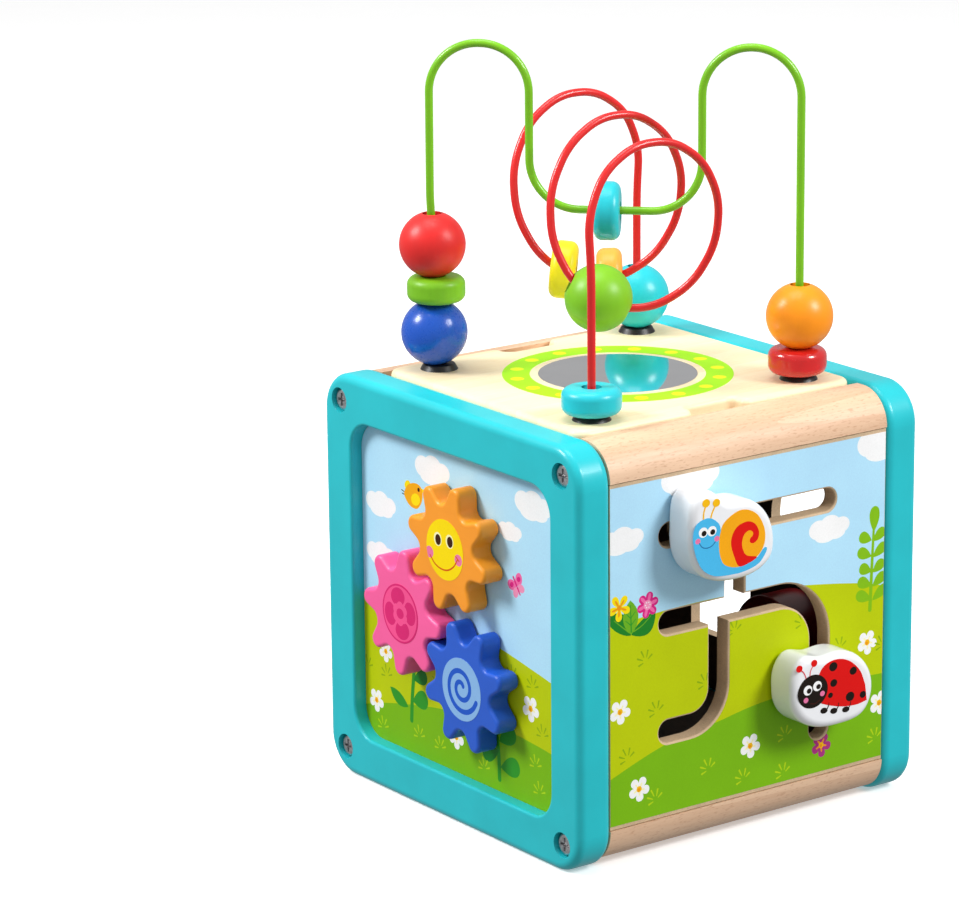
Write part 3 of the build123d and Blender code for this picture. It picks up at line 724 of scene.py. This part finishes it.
meadow = [("sky", [(-84, 10), (84, 10), (84, 190), (-84, 190)])]
meadow += cloud(-74.5, 155.0, 1.0) + cloud(-35.5, 177.5, 1.36) + cloud(47.2, 139.0) + cloud(80.5, 175.0, 1.36)
meadow += hills(
    [(-90, 116.2), (-64, 117.2), (-48, 118.0), (-20, 118.2), (10, 116.6), (35, 114.0), (60, 110.2), (73, 107.4),
     (90, 102.8)],
    [(-90, 40.4), (-80, 44.2), (-64, 49.8), (-52, 53.4), (-41, 55.9), (-29, 57.3), (-17, 58.9), (-5, 61.0),
     (8, 62.6), (30, 64.0), (52, 63.8), (72, 62.4), (90, 61.6)],
    90.0,
)
# Flower bush beside the front frame
meadow += [
    ("leaf_dark", leaf(-69.4, 109.8, -84.0, 121.4, 8.4, -1.6)),
    ("leaf_dark", leaf(-69.2, 110.0, -55.2, 118.8, 8.0, -2.2)),
    ("leaf_light", leaf(-69.2, 110.2, -69.8, 126.4, 8.8)),
    ("leaf", stroke([(-69.2, 111.5), (-69.4, 118.0), (-69.7, 124.0)], 0.8, 0.4)),
    ("leaf_light", stroke([(-70.6, 111.6), (-75.0, 115.2), (-79.0, 118.6)], 0.6, 0.3)),
    ("leaf_light", stroke([(-67.8, 111.4), (-63.0, 113.4), (-58.0, 117.0)], 0.6, 0.3)),
]
for base_y, base_z, tip in (
    (-69.4, 114.6, -72.4), (-69.4, 114.6, -66.6), (-69.6, 118.0, -72.2), (-69.6, 118.0, -66.9),
):
    meadow += [("leaf", stroke([(base_y, base_z), (tip, base_z + 2.6)], 0.5, 0.3, 2))]
for k in range(5):
    meadow += [("yellow", drop(-76.0, 124.0, 6.4, 4.2, 50 + 72 * k))]
for k in range(5):
    meadow += [("amber", drop(-76.0, 124.0, 4.4, 1.2, 50 + 72 * k, 16))]
meadow += [("amber", oval(-76.0, 124.0, 1.3, count=18))]
for k in range(6):
    meadow += [("magenta", drop(-59.8, 122.4, 6.2, 4.6, 75 + 60 * k))]
for k in range(6):
    meadow += [("pink", drop(-59.8, 122.4, 5.6, 1.9, 75 + 60 * k, 16))]
meadow += [("rose", oval(-59.8, 122.4, 2.3, count=24))]
for k in range(6):
    a = k * 1.05
    meadow += [("white", oval(-59.8 + 1.3 * math.cos(a), 122.4 + 1.3 * math.sin(a), 0.32, count=8))]
# Tall fern beside the back frame
meadow += [("fern", stroke([(72.9, 94.8), (73.6, 112.0), (74.1, 124.0), (74.8, 138.0)], 2.2, 1.4))]
for z, reach in ((128.6, 8.4), (120.8, 9.4), (113.4, 8.0), (106.6, 9.0), (99.8, 10.0)):
    meadow += [("fern", drop(73.4, z, reach, 6.6, 156)), ("fern", drop(74.2, z - 0.6, reach + 0.6, 6.2, 34))]
meadow += [("fern", drop(74.7, 132.4, 12.6, 7.2, 88))]
for y, z, turn in ((-75.6, 75.0, 0), (-64.7, 35.9, 0), (0.6, 42.8, 0), (71.5, 79.0, 0), (79.6, 47.6, 10)):
    meadow += daisy(y, z, turn=turn)
meadow += daisy(43.8, 34.0, "berry", "amber", 1.0)
meadow += tufts(
    "blade_dark",
    26,
    ((-60.8, 96.0), (-8.9, 100.0), (-54.4, 70.6), (-71.2, 51.6),
     (-26.0, 78.2), (31.9, 96.0), (54.8, 79.6), (81.4, 75.6)),
)
meadow += tufts(
    "blade_meadow", 26, ((-24.0, 36.6), (-3.2, 27.2), (-55.0, 28.6), (21.9, 42.8), (20.9, 24.8), (77.4, 30.2))
)
printed("maze_side_print", "cube", right, meadow, page, slots)

# ---------------------------------------------------------------- the plain side and the sorter side

left = Face((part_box("plain_panel")[0][0], 0, 0), (0, -1, 0), (0, 0, 1))
meadow = [("sky", [(-84, 10), (84, 10), (84, 190), (-84, 190)])]
meadow += cloud(-48.0, 160.0, 1.3) + cloud(52.0, 150.0, 1.1) + cloud(4.0, 171.0, 0.85)
meadow += hills(
    [(-90, 104.0), (-55, 112.0), (-15, 116.0), (25, 112.0), (60, 103.0), (90, 100.0)],
    [(-90, 58.0), (-50, 61.0), (-10, 56.0), (30, 48.0), (62, 46.0), (90, 49.0)],
    90.0,
)
meadow += [
    ("trunk", smooth(
        [(-42, 66), (-37.4, 92), (-38, 110), (-31, 110), (-30.6, 92), (-25, 66), (-33.5, 64)], True, 5
    )),
    ("leaf_light", oval(-50, 116, 17, 14)), ("leaf_light", oval(-19, 116, 17, 14)),
    ("leaf_light", oval(-34.5, 129, 21, 17)), ("leaf_light", oval(-34.5, 113, 18, 12)),
]
for y, z in ((-47, 121), (-35, 133), (-22, 122), (-36, 116), (-54, 111), (-15, 112)):
    meadow += [("bug_red", oval(y, z, 3.1)), ("leaf_dark", leaf(y, z + 2.6, y + 3.4, z + 5.2, 1.6))]
meadow += stem([(35, 34), (35.6, 52), (34, 74)]) + [
    ("leaf", drop(35.2, 44, 14, 9.6, 28)), ("leaf", drop(35.2, 50, 13, 9.0, 154)),
]
meadow += daisy(34, 82, "pink", "magenta", 2.1) + daisy(-64, 40, s=1.1)
meadow += daisy(-8, 36) + daisy(64, 66, s=1.05) + daisy(60, 30)
meadow += butterfly(30, 128, 1.25, -25) + butterfly(62, 118, 0.9, 30)
meadow += tufts("blade_dark", 8, ((-66, 82), (-2, 88), (12, 70), (60, 84), (-70, 66), (72, 54)))
meadow += tufts("blade_meadow", 8, ((-40, 44), (-24, 30), (16, 32), (48, 38), (72, 34), (-72, 28)))
printed("plain_side_print", "cube", left, meadow, page)

back = Face((0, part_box("sorter_panel")[1][1], 0), (-1, 0, 0), (0, 0, 1))
edge = 0.6
openings = [
    oval(-36.0, 119.0, 27.0 + edge, count=72),
    rounded_box(6.5 - edge, 45.8 - edge, 52.5 + edge, 91.8 + edge, 3.0 + edge),
    [(58.5 + edge, 101.0 - edge), *arc(32.5, 132.0, 26.0 + edge, 0, 180, 36), (6.5 - edge, 101.0 - edge)],
]
meadow = [("sky", rounded_box(-window, middle - window, window, middle + window, 14.0))]
meadow += cloud(-52.0, 160.0, 1.1) + cloud(-6.0, 168.0, 0.8) + cloud(68.0, 163.0, 0.9)
meadow += hills(
    [(-84, 82), (-50, 92), (-10, 96), (30, 92), (60, 88), (84, 90)],
    [(-84, 44), (-50, 40), (-16, 44), (20, 50), (54, 46), (84, 38)],
    84.0,
)
meadow += [
    ("ring_orange", oval(-36.0, 119.0, 32.0, count=72)),
    ("ring_blue", rounded_box(1.7, 41.0, 57.3, 96.6, 7.0)),
    ("ring_pink", [(63.3, 98.2), *arc(32.5, 132.0, 30.8, 0, 180, 36), (1.7, 98.2)]),
]
meadow += daisy(-58, 62, s=1.3) + daisy(-20, 30) + daisy(-40, 44, "pink", "magenta", 1.2)
meadow += daisy(66, 32) + daisy(34, 29, s=0.9)
meadow += butterfly(-8, 148, 0.9, 20)
meadow += tufts("blade_dark", 0, ((-66, 76), (-34, 68), (-12, 62), (66, 70)))
meadow += tufts("blade_meadow", 0, ((-58, 29), (-2, 34), (14, 32), (52, 34)))
printed("sorter_side_print", "cube", back, meadow, window_page, openings)

# ---------------------------------------------------------------- pictures on the gears and the sliders

def gear_face(gear):
    low, _ = (Vector(c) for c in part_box(gear + "_gear"))
    x, z = gear_centres[gear]
    return Face((x * MM, low.y, z * MM), (1, 0, 0), (0, 0, 1))


sun = [("sun_yellow", oval(0, 0, 14.4, count=72))]
sun += [("cheek", oval(-12.0, -3.6, 3.0, 2.8)), ("cheek", oval(10.6, -2.6, 2.9, 2.8))]
sun += [("smile", stroke(
    [(-11.6, -5.0), (-8.0, -8.2), (-3.2, -9.7), (2.0, -9.3), (6.8, -6.6), (9.9, -2.6)], 0.8
))]
sun += [("smile", stroke([(8.6, -1.2), (11.2, -2.9)], 0.7, 0.7, 2))]
for eye_x, eye_y in ((-5.4, 4.0), (3.9, 4.8)):
    sun += [("cream", oval(eye_x, eye_y, 3.0, 3.3)), ("brown", oval(eye_x + 0.25, eye_y - 0.2, 2.2, 2.6))]
sun_page = oval(0, 0, 14.4, count=72)
printed("sun_gear_print", "sun", gear_face("sun"), sun, sun_page)

flower = [("petal", oval(0, 0, 14.3, count=72)), ("gear_pink_light", oval(0, 0, 13.4, count=72))]
for k in range(4):
    a = math.radians(90 * k + 12)
    flower += [("petal", oval(8.1 * math.cos(a), 8.1 * math.sin(a), 5.6, 4.5, 90 * k + 102))]
for k in range(6):
    a = math.radians(60 * k + 30)
    flower += [("gear_pink_light", oval(3.3 * math.cos(a), 3.3 * math.sin(a), 2.7, count=28))]
flower += [("gear_pink_light", oval(0, 0, 3.6)), ("petal", oval(0, 0, 2.9, 2.5))]
printed("flower_gear_print", "flower", gear_face("flower"), flower)

curl = []
for k in range(41):
    t = k / 40
    a = math.radians(-20 - 660 * t)
    r = 12.4 - 10.4 * t ** 0.9
    curl.append((r * math.cos(a), r * math.sin(a)))
spiral = [("spiral_pale", oval(0.2, -0.6, 15.0, count=72)), ("spiral_line", stroke(curl, 2.5, 2.3, 3))]
printed("spiral_gear_print", "spiral", gear_face("spiral"), spiral)


def slider_face(name, y, z):
    """The front of a slider's block, about a point beside its pin."""
    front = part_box(name + "_block")[1][0]
    low, high = (Vector(c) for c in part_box(name + "_pin"))
    return Face((front, (low.y + high.y) / 2 + y * MM, (low.z + high.z) / 2 + z * MM), (0, 1, 0), (0, 0, 1))


snail = [
    ("gold", stroke([(-16.2, 10.6), (-16.0, 14.0), (-14.9, 17.2)], 0.75)),
    ("gold", stroke([(-12.1, 10.4), (-11.2, 13.2), (-9.2, 16.6)], 0.75)),
    ("gold", oval(-14.7, 18.2, 2.2, 1.9, count=28)), ("gold", oval(-8.8, 17.4, 2.1, 1.85, count=28)),
    ("snail", smooth([
        (-6.0, 2.8), (-7.2, 7.2), (-11.4, 10.5), (-15.8, 11.0), (-20.2, 9.0), (-22.1, 4.6), (-21.7, -1.0),
        (-19.9, -6.9), (-16.6, -12.4), (-11.4, -15.9), (-6.2, -17.2), (2.6, -17.7), (10.0, -17.1),
        (15.9, -15.3), (19.2, -12.2), (20.8, -9.4), (19.8, -8.3), (18.0, -9.6), (12.0, -13.0), (-4.0, -8.0),
    ])),
    ("shell", smooth([
        (-7.3, -2.2), (-6.4, 3.4), (-4.0, 7.6), (2.6, 11.1), (8.5, 11.3), (14.4, 8.4), (18.1, 3.4), (19.7, -2.4),
        (18.4, -8.4), (13.0, -13.0), (4.1, -14.8), (-3.3, -12.8), (-6.3, -8.6),
    ])),
    ("shell_red", smooth([
        (4.5, -14.6), (1.5, -9.3), (-0.3, -3.4), (0.8, 1.4), (3.9, 4.5), (9.3, 5.6), (13.7, 3.7), (16.0, -0.4),
        (15.2, -3.8), (12.7, -5.2), (10.8, -4.4), (10.8, -2.7), (12.2, -1.6), (12.5, -0.3), (11.4, 0.9), (9.6, 1.1),
        (7.2, -0.5), (6.1, -3.8), (6.9, -7.7), (9.3, -10.4), (14.9, -12.0), (10.4, -14.0),
    ])),
    ("snail", smooth([
        (2.0, -15.4), (10.6, -14.3), (15.4, -12.0), (18.0, -9.4), (19.8, -8.3), (20.8, -9.4), (19.2, -12.2),
        (15.9, -15.3), (10.0, -17.1), (2.6, -17.7),
    ])),
    ("cheek", oval(-19.4, 1.3, 1.5, 1.3, count=28)), ("cheek", oval(-8.5, 0.7, 1.5, 1.3, count=28)),
    ("smile_blue", stroke([(-18.6, 0.2), (-16.8, -1.9), (-14.2, -2.7), (-11.4, -2.2), (-9.4, -0.6)], 0.5)),
]
for eye_x, eye_y in ((-16.3, 4.9), (-11.3, 4.7)):
    snail += [
        ("white", oval(eye_x, eye_y, 2.6, 2.35)),
        ("ink", oval(eye_x + 0.4, eye_y - 0.5, 1.45, 1.3, count=24)),
    ]
printed("snail_print", "snail", slider_face("snail", 0.0, -0.3), snail)

ladybug = [
    ("antenna_red", stroke([(-15.2, 8.4), (-16.6, 11.4), (-19.0, 13.6)], 0.55)),
    ("antenna_red", stroke([(-13.0, 9.0), (-12.5, 11.8), (-10.8, 14.2)], 0.55)),
    ("bug_red", oval(-19.4, 13.9, 1.9, 1.65, count=28)), ("bug_red", oval(-10.4, 14.9, 1.8, 1.7, count=28)),
    ("bug_red",
     smooth([(-9.0, 6.0), (-5.4, 11.6), (-0.2, 13.9), (5.9, 13.8), (12.0, 11.2), (17.6, 5.8), (20.8, -1.4)], False)
     + smooth([(21.9, -9.4), (15.5, -10.3), (6.9, -9.5), (-0.4, -7.5), (-5.6, -5.6)], False)
     + [(-9.0, 0.0)]),
]
for x, y, r in (
    (1.1, 11.0, 2.5), (13.3, 6.6, 2.2), (1.5, 3.0, 2.1), (-0.4, -2.6, 1.5), (11.6, -5.6, 2.6), (19.4, -6.2, 1.9),
):
    ladybug += [("ink", oval(x, y, r, 0.88 * r, count=28))]
for x, y in ((-4.2, -9.3), (1.8, -10.6), (9.1, -11.4)):
    ladybug += [
        ("ink", oval(x, y, 2.15, 1.4, -6, 28)),
        ("ink", stroke([(x + 1.6, y + 0.2), (x + 2.6, y + 1.6), (x + 2.9, y + 3.2)], 0.55, 0.45, 4)),
    ]
ladybug += [("ink", oval(-11.1, 1.4, 9.0, 8.0, count=60))]
for eye_x, eye_y in ((-14.1, 2.5), (-8.4, 3.5)):
    ladybug += [
        ("white", oval(eye_x, eye_y, 2.6, 2.4)),
        ("ink", oval(eye_x + 0.7, eye_y - 0.4, 1.4, 1.25, count=24)),
    ]
ladybug += [
    ("cheek", oval(-15.2, -2.1, 1.45, 1.3, count=24)),
    ("cheek", oval(-5.3, -0.7, 1.45, 1.3, count=24)),
    ("smile_dark", stroke([(-12.4, -4.2), (-9.8, -4.7), (-6.8, -3.6)], 0.45)),
]
printed("ladybug_print", "ladybug", slider_face("ladybug", -8.9, 2.4), ladybug)

# ---------------------------------------------------------------- the ring round the mirror

top = Face((0, 0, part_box("lid")[1][2]), (1, 0, 0), (0, 1, 0))
ring = [("lime", oval(0, 0, 54.5, count=144))]
for k in range(16):
    a = math.radians(22.5 * k + 20)
    ring += [("lime_dot", oval(48.3 * math.cos(a), 48.3 * math.sin(a), 3.3, count=28))]
printed("lid_ring_print", "lid", top, ring, None, [oval(0, 0, 41.5, count=144)])

# ---------------------------------------------------------------- floor, light and camera

def link(name, data):
    made = bpy.data.objects.new(name, data)
    bpy.context.scene.collection.objects.link(made)
    return made


bm = bmesh.new()
bmesh.ops.create_circle(bm, cap_ends=True, segments=96, radius=9.0)
floor_mesh = bpy.data.meshes.new("floor")
bm.to_mesh(floor_mesh)
bm.free()
floor = link("floor", floor_mesh)
n = Nodes("pale_floor")
grain = n.noise(n.place(), 40.0, 2.0)
n.set(
    Base_Color=n.mix(grain, (0.9, 0.9, 0.9, 1), (0.93, 0.93, 0.93, 1)),
    Roughness=0.8,
    Specular_IOR_Level=0.1,
    Emission_Color=(1, 1, 1, 1),
    Emission_Strength=0.34,
)
floor_mesh.materials.append(n.material)
floor.visible_diffuse = False
floor.visible_glossy = False

# A white backdrop. The room itself is dimmer, and dimmest below.
ROOM_LOW, ROOM_HIGH = 0.36, 0.54
world = bpy.data.worlds.new("studio")
world.use_nodes = True
tree = world.node_tree
room = tree.nodes["Background"]
backdrop = tree.nodes.new("ShaderNodeBackground")
backdrop.inputs["Strength"].default_value = 1.5
backdrop.inputs["Color"].default_value = (1.0, 1.0, 1.0, 1)
room.inputs["Color"].default_value = (1.0, 1.0, 1.0, 1)
heading = tree.nodes.new("ShaderNodeTexCoord")
split = tree.nodes.new("ShaderNodeSeparateXYZ")
height = tree.nodes.new("ShaderNodeMapRange")
tree.links.new(heading.outputs["Generated"], split.inputs["Vector"])
tree.links.new(split.outputs["Z"], height.inputs["Value"])
for key, value in (("From Min", -0.5), ("From Max", 0.8), ("To Min", ROOM_LOW), ("To Max", ROOM_HIGH)):
    height.inputs[key].default_value = value
tree.links.new(height.outputs["Result"], room.inputs["Strength"])
seen = tree.nodes.new("ShaderNodeLightPath")
choose = tree.nodes.new("ShaderNodeMixShader")
tree.links.new(seen.outputs["Is Camera Ray"], choose.inputs["Fac"])
tree.links.new(room.outputs["Background"], choose.inputs[1])
tree.links.new(backdrop.outputs["Background"], choose.inputs[2])
tree.links.new(choose.outputs["Shader"], tree.nodes["World Output"].inputs["Surface"])
bpy.context.scene.world = world


def softbox(name, place, aim, size, power):
    lamp = bpy.data.lights.new(name, "AREA")
    lamp.shape = "RECTANGLE"
    lamp.size, lamp.size_y = size
    lamp.energy = power
    made = link(name, lamp)
    made.location = place
    made.rotation_mode = "QUATERNION"
    made.rotation_quaternion = (Vector(aim) - Vector(place)).to_track_quat("-Z", "Y")


target = (0, 0, 0.12)
softbox("key_left", (-0.75, -1.25, 1.35), target, (0.55, 0.55), 29)
softbox("key_right", (1.4, 0.75, 1.3), target, (0.6, 0.6), 29)
softbox("overhead", (-0.1, -0.15, 1.9), target, (0.9, 0.9), 12)

camera = link("camera", bpy.data.cameras.new("camera"))
camera_at = (1.5038, -1.1733, 0.6776)
to_right = Vector((0.58983, 0.80747, -0.00976))
upwards = Vector((-0.20438, 0.16097, 0.96557))
ahead = Vector((-0.78124, 0.56752, -0.25997))
turn = Matrix((to_right, upwards, -ahead)).transposed()
camera.matrix_world = Matrix.Translation(camera_at) @ turn.to_4x4()
camera.data.sensor_width = 36.0
camera.data.lens = 156.7
camera.data.clip_start, camera.data.clip_end = 0.05, 60.0
bpy.context.scene.camera = camera
bpy.context.scene.view_settings.view_transform = "Standard"
